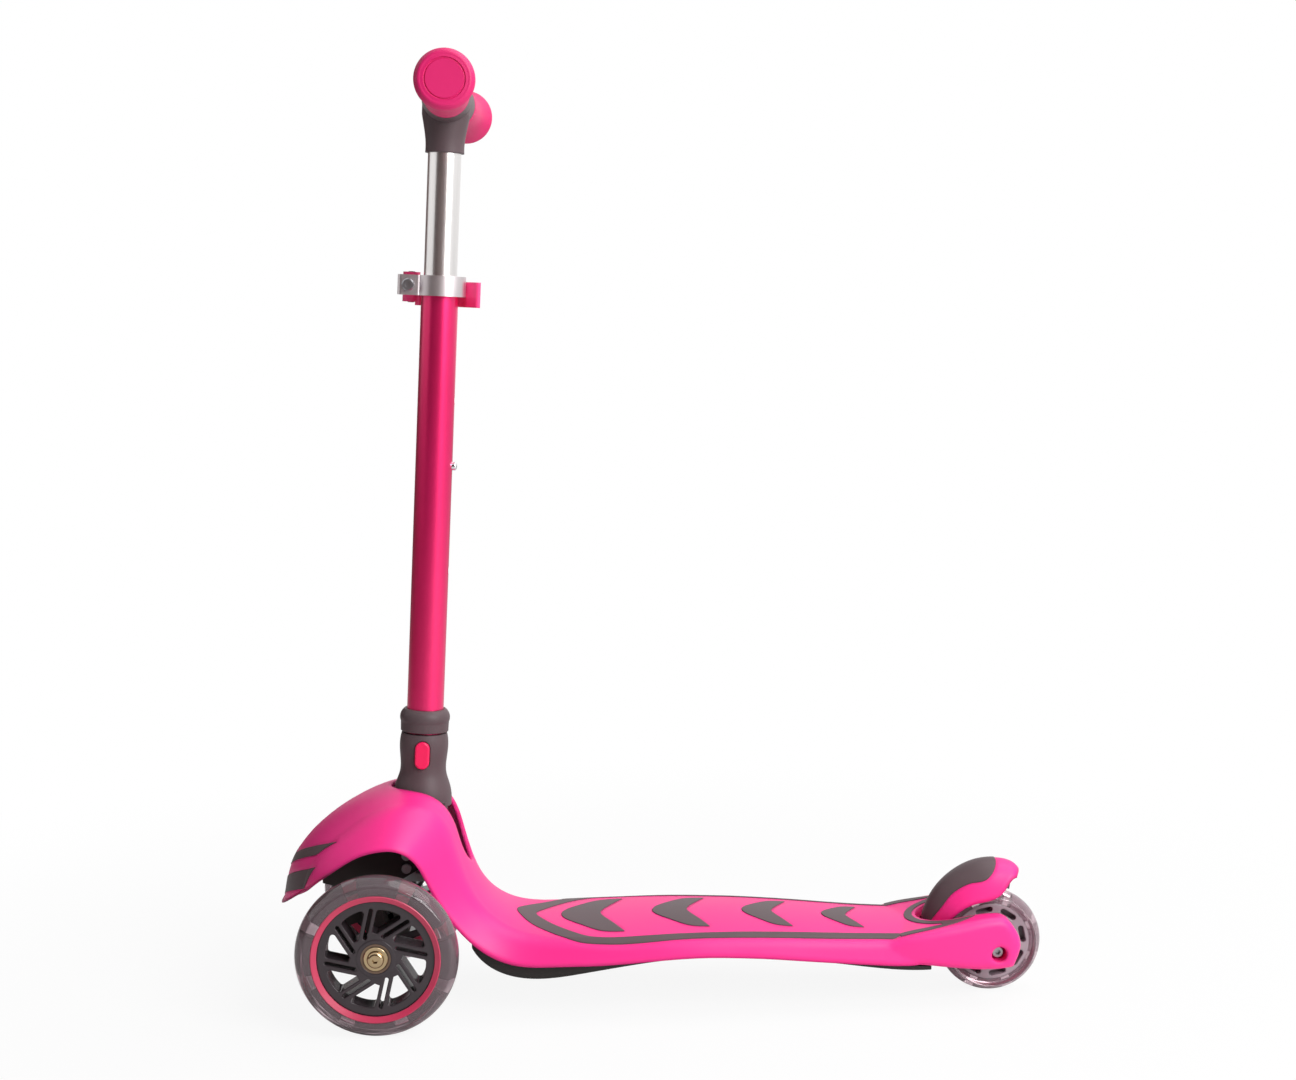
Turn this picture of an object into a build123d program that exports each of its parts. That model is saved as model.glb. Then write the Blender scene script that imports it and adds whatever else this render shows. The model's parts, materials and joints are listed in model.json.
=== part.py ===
from build123d import *
from math import atan, cos, degrees, hypot, radians, sin
import os

# Three-wheeled kick scooter that steers by leaning, with a folding stem.
# Millimetres. X runs to the back, Y to the rider's right, Z up.
# The origin is on the ground, under the middle of the whole scooter.

# Wheels and stance
REAR_AXLE_X = 255.0
WHEELBASE = 468.5
FRONT_AXLE_X = REAR_AXLE_X - WHEELBASE
FRONT_R = 60.0
REAR_R = 40.0
WHEEL_WIDTH = 24.0
HALF_TRACK = 93.0
AXLE_R = 4.0
RUNNING_GAP = 0.05
BEARING_R = 11.0
BEARING_WIDTH = 7.0
SPOKES = 8
REAR_SLOTS = 8

# Deck shell
WALL = 3.5
SHOULDER = 9.0
SLOT_HALF = 27.0
SLOT_CENTRE_X = 224.0
ARM_CORE_Y = 41.0
INLAY_DEPTH = 1.4
INLAY_PROUD = 0.5

# Steering under the hood
KINGPIN_TILT = 20.0
KINGPIN_Y = 30.0
KINGPIN_R = 5.0
TIE_REACH = 28.0
TIE_PIN_R = 3.0

# Stem
STEM_FOOT_X = -193.2
STEM_LEAN = degrees(atan(0.0458))
OUTER_TUBE_R = 14.0
OUTER_TUBE_BORE = 12.8
INNER_TUBE_R = 12.5
INNER_TUBE_BORE = 11.0
FOLD_X = 6.0
FOLD_S = 135.4
FOLD_PIN_R = 5.0
CLAMP_S = 547.5
CLAMP_HEIGHT = 15.0
SNAP_S = 412.6
HEIGHT_DOWN = 80.0
HEIGHT_UP = 50.0
BUTTON_S = 192.5

# Handle
HANDLE_S = 685.5
HANDLE_SWEEP = 2.9
KNOB_Y = 143.8
KNOB_R = 21.0

# Brake
BRAKE_X = 207.0
BRAKE_Z = 48.5
BRAKE_PIN_R = 3.0
BRAKE_PIN_END = 33.0

# Places that the pieces are built in
STEM = Plane(
    origin=(STEM_FOOT_X, 0, 0),
    x_dir=(cos(radians(STEM_LEAN)), 0, -sin(radians(STEM_LEAN))),
    z_dir=(sin(radians(STEM_LEAN)), 0, cos(radians(STEM_LEAN))),
)
STEER = Plane(
    origin=(FRONT_AXLE_X, 0, FRONT_R),
    x_dir=(cos(radians(KINGPIN_TILT)), 0, sin(radians(KINGPIN_TILT))),
    z_dir=(-sin(radians(KINGPIN_TILT)), 0, cos(radians(KINGPIN_TILT))),
)
LEFT_WHEEL = Plane((FRONT_AXLE_X, -HALF_TRACK, FRONT_R), (1, 0, 0), (0, -1, 0))
RIGHT_WHEEL = Plane((FRONT_AXLE_X, HALF_TRACK, FRONT_R), (-1, 0, 0), (0, 1, 0))
REAR_WHEEL = Plane((REAR_AXLE_X, 0, REAR_R), (1, 0, 0), (0, -1, 0))

nodes = {}


def rod(start, end, radius):
    """Round bar between two points."""
    way = Vector(*end) - Vector(*start)
    return Solid.make_cylinder(radius, way.length, Plane(origin=start, z_dir=way))


def pipe(start, end, radius, bore):
    """Round tube between two points."""
    return rod(start, end, radius) - rod(start, end, bore)


def block(low, high):
    """Box between two corners."""
    size = Vector(*high) - Vector(*low)
    middle = (Vector(*high) + Vector(*low)) * 0.5
    return Pos(middle) * Box(size.X, size.Y, size.Z)


def across(outline, near, far):
    """Side outline drawn in X and Z, carried across the scooter from near to far."""
    face = make_face(outline)
    place = Plane((0, far, 0), (1, 0, 0), (0, -1, 0))
    return place.location * extrude(face, amount=far - near, dir=(0, 0, 1))


def upright(outline, low, high):
    """Plan outline drawn in X and Y, carried up from low to high."""
    return Pos(0, 0, low) * extrude(make_face(outline), amount=high - low, dir=(0, 0, 1))


def turned(outline):
    """Outline drawn as radius and height, turned about the upright axis."""
    face = Plane.XZ.location * make_face(outline)
    return revolve(face, Axis.Z)


def both_sides(shape):
    """The shape and its mirror image on the other side of the scooter."""
    return shape + mirror(shape, about=Plane.XZ)


# Skin of the deck shell. Each station has the middle of the top, the foot of the skirt,
# and across the scooter the half width at the crease, its drop, and the half width at the foot.
STATIONS = [
    ((-294.5, 77), (-262, 107), 56, 27, 74),
    ((-288, 102), (-246, 118.5), 60, 24, 80),
    ((-267, 134), (-230, 129), 59, 16, 83),
    ((-235, 156.5), (-216, 134), 56, 10, 85),
    ((-203, 167.5), (-203, 135), 53, 7.5, 85),
    ((-174, 162.5), (-191, 129.5), 50, 7, 82),
    ((-158, 142), (-181.5, 115), 46, 6, 75),
    ((-149.5, 113), (-174, 97.5), 44, 5, 69),
    ((-138, 87.5), (-164, 80.5), 44, 5, 66),
    ((-121, 70.5), (-148, 61), 47, 4.5, 64.5),
    ((-95, 62.6), (-118, 42.8), 54, 3.5, 64),
    ((-70, 62.5), (-84, 40.6), 58.5, 3.8, 65.2),
    ((-45, 63.2), (-52, 41.4), 61, 4, 66),
    ((-25, 64), (-29, 42.8), 61.2, 4.2, 66),
    ((-5, 64.8), (-6, 44.6), 60.8, 4.3, 65.6),
    ((15, 65.2), (15, 45.9), 60, 4.4, 65),
    ((40, 65.1), (40, 45.9), 58.4, 4.4, 63.4),
    ((70, 64.1), (70, 44.2), 56, 4, 61),
    ((105, 62), (105, 40.8), 53, 3.5, 58),
    ((150, 58.9), (150, 36.6), 49, 3, 54),
    ((178, 57.5), (178, 34.4), 47, 2.5, 51.6),
    ((193, 57.2), (193, 34.6), 46.4, 2.5, 49.4),
    ((205, 57.2), (205, 37.5), 46, 2.5, 47),
]


def section_line(station, wall):
    """Half section of the skin set in by wall: crown, both ends and middle of the shoulder, foot."""
    top, base, crease, drop, skirt = station
    depth = hypot(base[0] - top[0], base[1] - top[1])
    corner = Vector(crease - 0.7 * wall, drop + wall)
    foot = Vector(skirt - wall, depth)
    inner = corner + (Vector(0, wall) - corner).normalized() * SHOULDER
    outer = corner + (foot - corner).normalized() * SHOULDER
    bend = (inner + corner * 2 + outer) * 0.25
    return Vector(0, wall), inner, bend, outer, foot


def section_edges(station, wall):
    """Edges of the section from the left foot over the crown to the right foot."""
    top, base, crease, drop, skirt = station
    depth = hypot(base[0] - top[0], base[1] - top[1])
    down = Vector(base[0] - top[0], 0, base[1] - top[1]) * (1 / depth)
    line = section_line(station, wall)
    right = [Vector(top[0], p.X, top[1]) + down * p.Y for p in line]
    left = [Vector(top[0], -p.X, top[1]) + down * p.Y for p in line]
    return [
        Edge.make_line(left[4], left[3]),
        Edge.make_three_point_arc(left[3], left[2], left[1]),
        Edge.make_three_point_arc(left[1], left[0], right[1]),
        Edge.make_three_point_arc(right[1], right[2], right[3]),
        Edge.make_line(right[3], right[4]),
    ]


def layer(outside, inside):
    """Skin between two insets, as one loft of arch sections open at the feet."""
    wires = []
    for station in STATIONS:
        over = section_edges(station, outside)
        under = section_edges(station, inside)
        rims = [Edge.make_line(over[4] @ 1, under[4] @ 1), Edge.make_line(under[0] @ 0, over[0] @ 0)]
        wires.append(Wire(over + under + rims))
    return Solid.make_loft(wires)


def filled_skin():
    """Solid below the skin, used to trim what hangs from it."""
    wires = []
    for station in STATIONS:
        over = section_edges(station, WALL / 2)
        wires.append(Wire(over + [Edge.make_line(over[4] @ 1, over[0] @ 0)]))
    return Solid.make_loft(wires)


# Grey inlays of the deck and the nose
CHEVRON_LEAD = [(0, 0), (2.8, 11), (15.2, 27), (24, 36.5), (31, 41.5), (39, 43.5), (48, 43.8)]
CHEVRON_TRAIL = [(48, 43.8), (44.5, 36), (37.2, 20), (32, 8.3), (30.4, 0)]
CHEVRONS = [(-79.3, 1.0), (-8.6, 0.88), (61.2, 0.76), (123.4, 0.62)]
BORDER_OUTER = [(-113.5, 0), (-110, 12), (-101, 27.5), (-90, 39.5), (-77.5, 51.5), (-67, 57.5)]
BORDER_OUTER += [(-54, 60), (-33, 61), (10, 58.5), (71, 54), (132, 48.5), (165, 45.5), (190, 44.5), (212, 43.5)]
BORDER_INNER = [(-98.8, 0), (-95.5, 9), (-88, 21), (-77, 35), (-67, 45), (-58, 51.5), (-50, 54), (-33, 55)]
BORDER_INNER += [(10, 52), (71, 47.2), (132, 41.5), (165, 38.5), (190, 37.5), (212, 36.5)]
BORDER_ARCH = (29.5, 35.5)
BORDER_SPLIT = 179.0
BORDER_TAIL = [(BORDER_SPLIT, 44.8), (200, 43.6), (220, 39), (238, BORDER_ARCH[0])]
NOSE_LOW = [(0, 80.5), (54, 99.5), (61, 117.5), (0, 93.5)]
NOSE_HIGH = [(0, 104), (50, 124), (58, 136), (0, 112)]


def chevron(apex_x, scale):
    """Arrow that points forward, with a round nose and swept legs."""
    lead = [(apex_x + x * scale, y * scale) for x, y in CHEVRON_LEAD]
    trail = [(apex_x + x * scale, y * scale) for x, y in CHEVRON_TRAIL]
    front = Spline([(x, -y) for x, y in reversed(lead[1:])] + lead)
    back = Spline(trail + [(x, -y) for x, y in reversed(trail[:-1])])
    return upright([front, back], 40, 90)


def border_loop(points):
    """Plan of the border line, rounded in front and open to the back."""
    mirrored = [(x, -y) for x, y in reversed(points[1:])]
    line = Spline(mirrored + points)
    return upright([line, Line(points[-1], mirrored[0])], 40, 90)


def border_tail(hole, slot):
    """End of the border, which climbs the top of an arm."""
    body = arm_body()
    inner = [(BORDER_TAIL[-1][0], 0), (BORDER_SPLIT, 0)]
    plan = [Spline(BORDER_TAIL), Line(BORDER_TAIL[-1], inner[0]), Line(*inner), Line(inner[1], BORDER_TAIL[0])]
    raised = (Pos(0, 0, INLAY_PROUD) * body) & (upright(plan, 50, 90) - hole - slot)
    return raised - Pos(0, 0, -INLAY_DEPTH) * body


def deck_inlays(sheet):
    slot_arch = Pos(SLOT_CENTRE_X, 0, 65) * Cylinder(BORDER_ARCH[0], 50)
    slot_arch += block((SLOT_CENTRE_X, -BORDER_ARCH[0], 40), (280, BORDER_ARCH[0], 90))
    ring_arch = Pos(SLOT_CENTRE_X, 0, 65) * Cylinder(BORDER_ARCH[1], 50)
    loop = border_loop(BORDER_OUTER)
    hole = border_loop(BORDER_INNER) - ring_arch
    border = (sheet & (loop - hole)) - block((BORDER_SPLIT, -60, 40), (220, 60, 90))
    nodes["deck_border"] = border + both_sides(border_tail(hole, slot_arch))
    arrows = [sheet & chevron(x, scale) for x, scale in CHEVRONS]
    nodes["deck_chevrons"] = Compound([s for a in arrows for s in a.solids()])


def nose_inlays(sheet):
    """Two V bands on the nose, cut through the sheet from the front."""
    bands = []
    for half in (NOSE_LOW, NOSE_HIGH):
        outline = Polyline(half + [(-y, z) for y, z in reversed(half[1:3])], close=True)
        prism = extrude(Plane.YZ.offset(-320).location * make_face(outline), amount=80, dir=(1, 0, 0))
        bands += (sheet & prism).solids()
    nodes["nose_inlays"] = Compound(bands)


# Rear arms of the shell
ARM_TOP = [(168, 52.4), (182, 56), (190, 57.8), (200, 59.6), (213, 62), (228, 64.6), (242, 67.2), (254, 68)]
ARM_END = [(254, 68), (266.5, 60.5), (272.5, 44), (268, 30.5), (256, 27.6)]
ARM_FOOT = [(256, 27.6), (240, 27.9), (217, 30.4), (190, 33.6), (168, 35.4)]
ARM_SIDE = [(160, 48.5), (200, 49.6), (242, 46), (285, 40)]
RECESS_R = 6.2
ARM_PLATE_Z = 53.0
AXLE_FLOOR = 32.5
AXLE_HEAD = 4.4


def arm_body():
    """Arm beside the rear wheel, rounded on its outer side, and half of the plate before the wheel."""
    outline = [
        Spline(ARM_TOP),
        Spline(ARM_END, tangents=[(1, 0), (-1, 0)]),
        Spline(ARM_FOOT),
        Line(ARM_FOOT[-1], ARM_TOP[0]),
    ]
    inner = [(285, 0), (160, 0)]
    plan = [Spline(ARM_SIDE), Line(ARM_SIDE[-1], inner[0]), Line(*inner), Line(inner[1], ARM_SIDE[0])]
    arm = across(outline, 0, 60) & upright(plan, 0, 100)
    outer_face = arm.faces().sort_by(Axis.Y)[-1]
    arm = fillet([e for e in outer_face.edges() if e.center().X > ARM_TOP[0][0] + 1], 6.0)
    arm -= block((160, -1, 0), (SLOT_CENTRE_X, SLOT_HALF, ARM_PLATE_Z))
    return arm - wheel_slot()


def wheel_slot():
    """Slot for the rear wheel, round in front and open to the back."""
    slot = rod((SLOT_CENTRE_X, 0, 0), (SLOT_CENTRE_X, 0, 120), SLOT_HALF)
    return slot + block((SLOT_CENTRE_X, -SLOT_HALF, 0), (320, SLOT_HALF, 120))


def rear_arm():
    """One arm of the fork, cored from below, with holes for the axle and the brake pin."""
    arm = arm_body()
    arm -= block((178, SLOT_HALF + WALL, 10), (238, ARM_CORE_Y, 51))
    arm -= rod((REAR_AXLE_X, 0, REAR_R), (REAR_AXLE_X, 60, REAR_R), AXLE_R)
    arm -= rod((REAR_AXLE_X, AXLE_FLOOR, REAR_R), (REAR_AXLE_X, 60, REAR_R), RECESS_R)
    return arm - rod((BRAKE_X, 0, BRAKE_Z), (BRAKE_X, BRAKE_PIN_END, BRAKE_Z), BRAKE_PIN_R)


# Each place of a tray screw has the underside that its head sits in
TRAY_SCREWS = [(-96, 44, 28.6), (-20, 49, 38), (60, 46, 42.4), (140, 36, 34.4)]
CARRIER_SCREWS = [(-228, 40), (-196, 40)]
CARRIER_TOP = 141.0
CARRIER_SCREW_TOP = 147.2
TRAY_SCREW_TOP = 52.3
SCREW_R = 1.8
FOLD_SLOT_HALF = 24.2


def deck_shell():
    shell = layer(0, WALL)
    under = filled_skin()
    shell += both_sides(rear_arm())
    slot_wall = rod((SLOT_CENTRE_X, 0, 31.6), (SLOT_CENTRE_X, 0, 80), SLOT_HALF + WALL)
    slot_wall &= block((180, -SLOT_HALF - 1, 30), (BRAKE_X - 3.6, SLOT_HALF + 1, 80))
    shell += slot_wall & under
    for x, y, floor in TRAY_SCREWS:
        boss = (rod((x, y, 48), (x, y, 75), 4.0) & under) - rod((x, y, 40), (x, y, TRAY_SCREW_TOP), SCREW_R)
        shell += both_sides(boss)
    for x, y in CARRIER_SCREWS:
        boss = rod((x, y, CARRIER_TOP), (x, y, 180), 5.0) & under
        boss -= rod((x, y, CARRIER_TOP - 5), (x, y, CARRIER_SCREW_TOP), SCREW_R)
        shell += both_sides(boss)
    shell -= STEM.location * rod((0, 0, 140), (0, 0, 195), FOLD_SLOT_HALF)
    slot_face = Pos(0, 131) * Circle(FOLD_SLOT_HALF) + Pos(0, 160) * Rectangle(2 * FOLD_SLOT_HALF, 58)
    shell -= extrude(Plane.YZ.offset(-185).location * slot_face, amount=60, dir=(1, 0, 0))
    shell -= wheel_slot()
    for inlay in ("deck_border", "deck_chevrons", "nose_inlays"):
        for piece in nodes[inlay].solids():
            shell -= piece
    nodes["deck_shell"] = shell


# Black tray under the deck. Each station has its place, underside, rim and half width.
TRAY_STATIONS = [
    (-146, 52, 58, 57),
    (-127, 34, 47, 57.5),
    (-104, 28, 42, 57.5),
    (-65, 31.5, 42.5, 59),
    (20, 43.3, 48, 57.5),
    (80, 41.3, 45, 53.5),
    (130, 35.3, 39.6, 49),
    (165, 30.2, 35, 46.5),
    (188, 28.2, 32.6, 45),
    (203, 28.2, 31.4, 43.5),
]
TRAY_WALL = 2.6
TRAY_BEND = 6.0


def tray_wire(station):
    x, low, rim, half = station
    edges = []
    for wall in (0, TRAY_WALL):
        y = half - wall
        z = low + wall
        bend = min(TRAY_BEND, 0.8 * (rim - low)) - wall / 2
        turn = bend * (1 - sin(radians(45)))
        edges += [
            Edge.make_line((x, -y, rim), (x, -y, z + bend)),
            Edge.make_three_point_arc((x, -y, z + bend), (x, turn - y, z + turn), (x, bend - y, z)),
            Edge.make_line((x, bend - y, z), (x, y - bend, z)),
            Edge.make_three_point_arc((x, y - bend, z), (x, y - turn, z + turn), (x, y, z + bend)),
            Edge.make_line((x, y, z + bend), (x, y, rim)),
        ]
    for side in (-half, half):
        inset = side - TRAY_WALL if side > 0 else side + TRAY_WALL
        edges.append(Edge.make_line((x, side, rim), (x, inset, rim)))
    return Wire(edges)


def undertray():
    tray = Solid.make_loft([tray_wire(s) for s in TRAY_STATIONS])
    for x, y, floor in TRAY_SCREWS:
        pillar = rod((x, y, floor + 1), (x, y, 47.8), 4.5)
        hole = rod((x, y, floor - 8), (x, y, 48), SCREW_R)
        hole += rod((x, y, floor - 8), (x, y, floor + 4), 3.6)
        tray = tray + both_sides(pillar) - both_sides(hole)
    nodes["undertray"] = tray
    screws = []
    for x, y, floor in TRAY_SCREWS:
        shank = rod((x, y, floor + 4), (x, y, TRAY_SCREW_TOP), SCREW_R)
        head = rod((x, y, floor + 1.4), (x, y, floor + 4), 3.2)
        screw = head + shank
        screws += [screw, mirror(screw, about=Plane.XZ)]
    nodes["tray_screws"] = Compound([s.solid() for s in screws])


# Front suspension and steering, in the tilted frame of the kingpins
LUG_LOW = (-4.0, 5.5)
LUG_HIGH = (30.5, 40.0)
KNUCKLE_Z = (6.0, 30.0)
TIE_Z = (22.4, 28.4)
WEB_X = (13.0, 20.0)
CHEEK_Y = (38.5, 44.5)
CHEEK = [(-258, 101), (-225, 92), (-206, 99), (-184, 112), (-184, 138), (-187, CARRIER_TOP)]
CHEEK += [(-236, CARRIER_TOP), (-258, 124)]
BRACKET_BASE = (-200.0, -164.0, 100.0, 106.0)
BRACKET_EAR_Y = 33.5


def lug(low, high):
    """Flat lug of the carrier with a round end at each kingpin."""
    plan = Pos(0, KINGPIN_Y) * Circle(11) + Pos(0, -KINGPIN_Y) * Circle(11)
    plan += Rectangle(22, 2 * KINGPIN_Y)
    plan += Pos(10, 0) * Rectangle(20, 2 * CHEEK_Y[1])
    return Pos(0, 0, low) * extrude(plan, amount=high - low, dir=(0, 0, 1))


def steering_carrier():
    frame = lug(*LUG_LOW) + lug(*LUG_HIGH)
    frame += block((WEB_X[0], -CHEEK_Y[1], LUG_LOW[0]), (WEB_X[1], CHEEK_Y[1], LUG_HIGH[1]))
    window = Plane.YZ.location * SlotOverall(44, 14)
    frame -= Pos(0, 0, 18) * extrude(window, amount=40, dir=(1, 0, 0))
    for side in (-1, 1):
        frame -= rod((0, side * KINGPIN_Y, -20), (0, side * KINGPIN_Y, 60), KINGPIN_R)
    frame = STEER.location * frame
    plate = across(Polyline(CHEEK, close=True), *CHEEK_Y)
    plate += block((-236, 33, CARRIER_TOP - 4), (-187, CHEEK_Y[1], CARRIER_TOP))
    frame += both_sides(plate)
    for x, y in CARRIER_SCREWS:
        frame -= both_sides(rod((x, y, 120), (x, y, 160), SCREW_R))
        frame -= both_sides(rod((x, y, 110), (x, y, CARRIER_TOP - 4), 3.6))
    for z in BRACKET_BOLT_Z:
        frame -= rod((BRACKET_BOLT_X, -60, z), (BRACKET_BOLT_X, 60, z), 2.0)
    nodes["steering_carrier"] = frame
    screws = []
    for x, y in CARRIER_SCREWS:
        screw = rod((x, y, CARRIER_TOP - 7), (x, y, CARRIER_TOP - 4), 3.3)
        screw += rod((x, y, CARRIER_TOP - 4), (x, y, CARRIER_SCREW_TOP), SCREW_R)
        screws += [screw, mirror(screw, about=Plane.XZ)]
    nodes["carrier_screws"] = Compound([s.solid() for s in screws])
    pin = rod((0, -KINGPIN_Y, -7), (0, -KINGPIN_Y, 41), KINGPIN_R)
    pin += rod((0, -KINGPIN_Y, 40), (0, -KINGPIN_Y, 44), 8)
    pin = STEER.location * pin
    nodes["kingpins"] = Compound([pin.solid(), mirror(pin, about=Plane.XZ).solid()])


BRACKET_BOLT_X = -195.0
BRACKET_BOLT_Z = (112.0, 122.0)


def fold_bracket():
    """Bracket between the carrier's cheeks that carries the pivot of the stem."""
    pivot = STEM.from_local_coords((FOLD_X, 0, FOLD_S))
    front, back, low, high = BRACKET_BASE
    bracket = block((front, -CHEEK_Y[0] + 0.05, low), (back, CHEEK_Y[0] - 0.05, high))
    ear = block((front, BRACKET_EAR_Y, low), (front + 11, CHEEK_Y[0] - 0.05, 127))
    foot = Polyline([(front, low), (back, low), (pivot.X + 13.5, 128), (pivot.X - 13.5, 128)], close=True)
    side = across(foot, 16.2, 20.2)
    side += rod((pivot.X, 16.2, pivot.Z), (pivot.X, 20.2, pivot.Z), 14)
    bracket += both_sides(ear + side)
    bracket -= rod((pivot.X, -30, pivot.Z), (pivot.X, 30, pivot.Z), FOLD_PIN_R)
    bracket -= STEM.location * block((-3.3, -21, 143.2), (3.3, -16, 160))
    for z in BRACKET_BOLT_Z:
        bracket -= rod((BRACKET_BOLT_X, -60, z), (BRACKET_BOLT_X, 60, z), 2.0)
    nodes["fold_bracket"] = bracket
    pin = rod((pivot.X, -22, pivot.Z), (pivot.X, 22, pivot.Z), FOLD_PIN_R)
    for side in (-1, 1):
        pin += rod((pivot.X, side * 20.3, pivot.Z), (pivot.X, side * 22.6, pivot.Z), 7)
    nodes["fold_pin"] = pin
    bolts = []
    for z in BRACKET_BOLT_Z:
        bolt = rod((BRACKET_BOLT_X, 31, z), (BRACKET_BOLT_X, 45, z), 2.0)
        bolt += rod((BRACKET_BOLT_X, 44.5, z), (BRACKET_BOLT_X, 47.5, z), 3.6)
        bolts += [bolt, mirror(bolt, about=Plane.XZ)]
    nodes["bracket_bolts"] = Compound([b.solid() for b in bolts])


STUB_Y = 78.0
HUB_FACE = 9.3
BOLT_HEAD = (10.6, 14.0)


def knuckle():
    """Left steering knuckle: kingpin boss, arm, stub for the axle bolt and steering arm."""
    low, high = KNUCKLE_Z
    body = rod((0, -KINGPIN_Y, low), (0, -KINGPIN_Y, high), 10)
    sections = []
    for y, half, bottom, top in ((-34, 8, 8, 28), (-46, 8, 7, 27), (-64, 7.5, -8, 8)):
        corners = [(-half, y, bottom), (half, y, bottom), (half, y, top), (-half, y, top)]
        sections.append(Wire.make_polygon(corners, close=True))
    body += Solid.make_loft(sections, True)
    body += rod((0, -61, 0), (0, -STUB_Y, 0), 9)
    body += rod((0, 1 - STUB_Y, 0), (0, HUB_FACE + 0.1 - HALF_TRACK, 0), 6.2)
    lever = Pos(0, -KINGPIN_Y) * Circle(8) + Pos(-TIE_REACH, -KINGPIN_Y) * Circle(6.5)
    lever += Pos(-TIE_REACH / 2, -KINGPIN_Y) * Rectangle(TIE_REACH, 11)
    body += Pos(0, 0, 14) * extrude(lever, amount=8, dir=(0, 0, 1))
    body -= rod((0, -KINGPIN_Y, -20), (0, -KINGPIN_Y, 60), KINGPIN_R + RUNNING_GAP)
    body -= rod((-TIE_REACH, -KINGPIN_Y, 0), (-TIE_REACH, -KINGPIN_Y, 40), TIE_PIN_R)
    body -= rod((0, -66, 0), (0, -100, 0), AXLE_R)
    return STEER.location * body


def hex_prism(across_flats, low, high):
    """Six-sided bar for nuts and key sockets."""
    plan = RegularPolygon(across_flats / 2, 6, major_radius=False)
    return Pos(0, 0, low) * extrude(plan, amount=high - low, dir=(0, 0, 1))


def axle_bolt():
    """Bolt of a front wheel in the wheel's frame, head outward."""
    root = STUB_Y - 10 - HALF_TRACK
    low, high = BOLT_HEAD
    bolt = rod((0, 0, root), (0, 0, low + 1), AXLE_R)
    dome = [
        Line((0, low), (6.3, low)),
        Line((6.3, low), (6.3, low + 1)),
        ThreePointArc((6.3, low + 1), (5.4, high - 0.7), (3.6, high)),
        Line((3.6, high), (0, high)),
        Line((0, high), (0, low)),
    ]
    bolt += turned(dome)
    return bolt - hex_prism(4, low + 0.9, high + 1)


def axle_washer():
    return turned(Polyline([(AXLE_R, 9.4), (8.9, 9.4), (8.9, 10.2), (8.5, 10.6), (AXLE_R, 10.6)], close=True))


def steering():
    left = knuckle()
    low = STEER.location * rod((-TIE_REACH, -KINGPIN_Y, 12), (-TIE_REACH, -KINGPIN_Y, 30), TIE_PIN_R)
    head = STEER.location * rod((-TIE_REACH, -KINGPIN_Y, 28.6), (-TIE_REACH, -KINGPIN_Y, 31), 5)
    pin = low + head
    nodes["left_knuckle"] = left
    nodes["right_knuckle"] = mirror(left, about=Plane.XZ)
    nodes["left_tie_pin"] = pin
    nodes["right_tie_pin"] = mirror(pin, about=Plane.XZ)
    plan = Pos(-TIE_REACH, 0) * Rectangle(8, 2 * KINGPIN_Y)
    for side in (-1, 1):
        plan += Pos(-TIE_REACH, side * KINGPIN_Y) * Circle(7)
    for side in (-1, 1):
        plan -= Pos(-TIE_REACH, side * KINGPIN_Y) * Circle(TIE_PIN_R + RUNNING_GAP)
    bar = Pos(0, 0, TIE_Z[0]) * extrude(plan, amount=TIE_Z[1] - TIE_Z[0], dir=(0, 0, 1))
    nodes["tie_rod"] = STEER.location * bar
    for side, place in (("left", LEFT_WHEEL), ("right", RIGHT_WHEEL)):
        nodes[side + "_axle_bolt"] = place.location * axle_bolt()
        nodes[side + "_axle_washer"] = place.location * axle_washer()
    buffer = turned(Polyline([(0, 0), (5, 0), (5, 1.4), (4, 2.1), (5, 2.8), (5, 4.2), (0, 4.2)], close=True))
    place = Plane((WEB_X[0] - 4.2, -KINGPIN_Y - 10.5, 18), (0, 1, 0), (1, 0, 0))
    pad = STEER.location * (place.location * buffer)
    nodes["steering_buffers"] = Compound([pad.solid(), mirror(pad, about=Plane.XZ).solid()])


# Front wheel, in its own frame: axis along Z, outer side up. The windows and slots are drawn
# beside a spoke that points along X.
RIM_R = 43.0
CORE_HALF = 9.0
HUB_R = 14.0
WINDOW = [(10.6, 15.2), (33.7, 15.2), (28.3, 23.8), (20.4, 30.2), (8.4, 18.2)]
WINDOW_CORNER = 2.2
SPOKE_SLOT = (24.0, 10.9)
SPOKE_SLOT_SIZE = (24.0, 3.0)
SPOKE_TURN = -12.7
BLOCK_R = 53.5
BLOCK_SPAN = 33.0
BLOCK_TURN = -2.0
BLOCK_HALF = 5.5
BAND_CONE = (4.4, 2.5)


def tyre(outer, inner, half, shoulder):
    """Tyre with a rounded tread between flat sides and a cone at each side of its seat."""
    rise, run = BAND_CONE
    outline = [
        Line((inner, run - half), (inner, half - run)),
        Line((inner, half - run), (inner + rise, half)),
        Line((inner + rise, half), (outer - shoulder, half)),
        ThreePointArc((outer - shoulder, half), (outer, 0), (outer - shoulder, -half)),
        Line((outer - shoulder, -half), (inner + rise, -half)),
        Line((inner + rise, -half), (inner, run - half)),
    ]
    return turned(outline)


def bearings(place):
    """Two ball bearings as closed rings with a groove for the shield."""
    bore = AXLE_R + RUNNING_GAP
    ring = Polyline(
        [(bore, 0), (BEARING_R, 0), (BEARING_R, 7), (9.4, 7), (9, 6.5), (6.4, 6.5), (6, 7), (bore, 7)],
        close=True,
    )
    outer = Pos(0, 0, HUB_FACE - BEARING_WIDTH) * turned(ring)
    inner = mirror(outer, about=Plane.XY)
    return Compound([(place.location * outer).solid(), (place.location * inner).solid()])


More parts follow.
